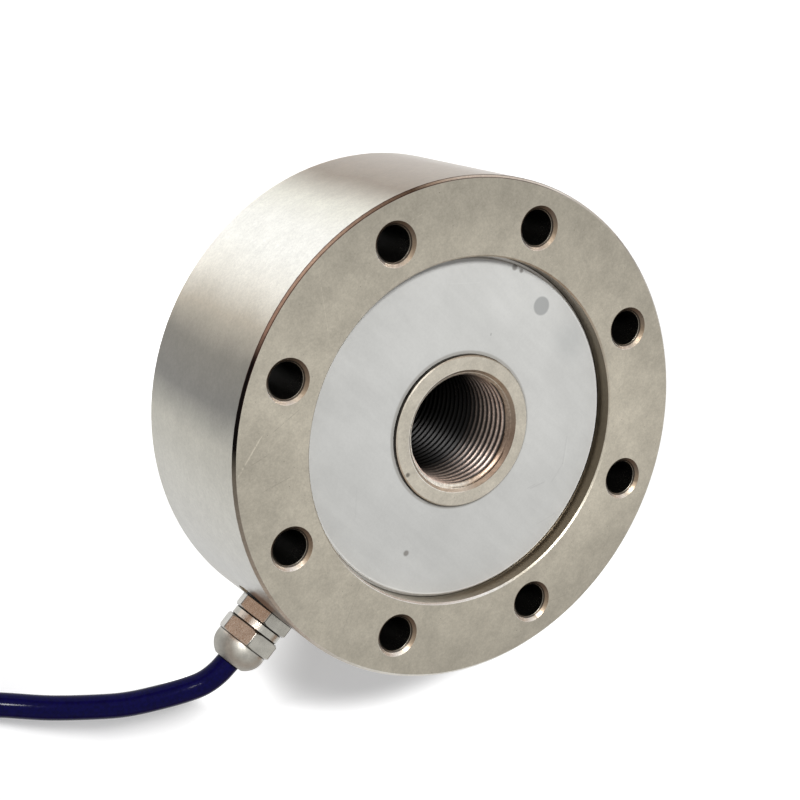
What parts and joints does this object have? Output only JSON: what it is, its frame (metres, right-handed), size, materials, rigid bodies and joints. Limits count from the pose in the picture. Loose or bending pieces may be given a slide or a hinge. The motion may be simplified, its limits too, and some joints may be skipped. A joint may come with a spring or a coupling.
{
  "type": "spoke type load cell",
  "caption": "Low profile wheel spoke load cell with a threaded hub, a ring of countersunk bolt holes, sealed covers, a metal cable gland and a coiled cable.",
  "frame": {"origin": "middle of the back face of the rim, on which the part lies", "axes": "+Z along the load axis, towards the front face; +X out of the cable gland"},
  "size_m": [0.2346, 0.2256, 0.0485],
  "materials": {
    "ground_steel": "fine ground, nickel plated, warm grey",
    "cover_steel": "plain rolled sheet",
    "sealant": "smooth matte, light grey",
    "gauge_foil": "clear coated amber film",
    "circuit_board": "green solder mask",
    "resistor_coat": "lacquered",
    "copper_wire": "enamelled",
    "nickel_brass": "bright nickel plate, slightly dulled",
    "black_rubber": "matte",
    "cage_plastic": "moulded",
    "cable_sheath": "glossy navy blue",
    "tie_plastic": "moulded",
    "sleeve_plastic": "shrunk tube",
    "red_insulation": "smooth",
    "black_insulation": "smooth",
    "green_insulation": "smooth",
    "white_insulation": "smooth"
  },
  "bodies": {
    "root": {"body": "ground_steel", "front_cover": "cover_steel", "front_sealant": "sealant", "back_cover": "cover_steel", "back_sealant": "sealant", "strain_gauge_1": "gauge_foil", "strain_gauge_2": "gauge_foil", "strain_gauge_3": "gauge_foil", "strain_gauge_4": "gauge_foil", "strain_gauge_5": "gauge_foil", "strain_gauge_6": "gauge_foil", "strain_gauge_7": "gauge_foil", "strain_gauge_8": "gauge_foil", "gauge_wires": "copper_wire", "terminal_board": "circuit_board", "trim_resistors": "resistor_coat", "lead_wires": "white_insulation", "gland_gasket": "black_rubber", "gland_body": "nickel_brass", "seal_insert": "black_rubber", "clamping_cage": "cage_plastic", "dome_nut": "nickel_brass", "cable": "cable_sheath", "cable_coil": "cable_sheath", "coil_tie_1": "tie_plastic", "coil_tie_2": "tie_plastic", "cable_tail": "cable_sheath", "shrink_sleeve": "sleeve_plastic", "red_core": "red_insulation", "black_core": "black_insulation", "green_core": "green_insulation", "white_core": "white_insulation"}
  },
  "joints": []
}
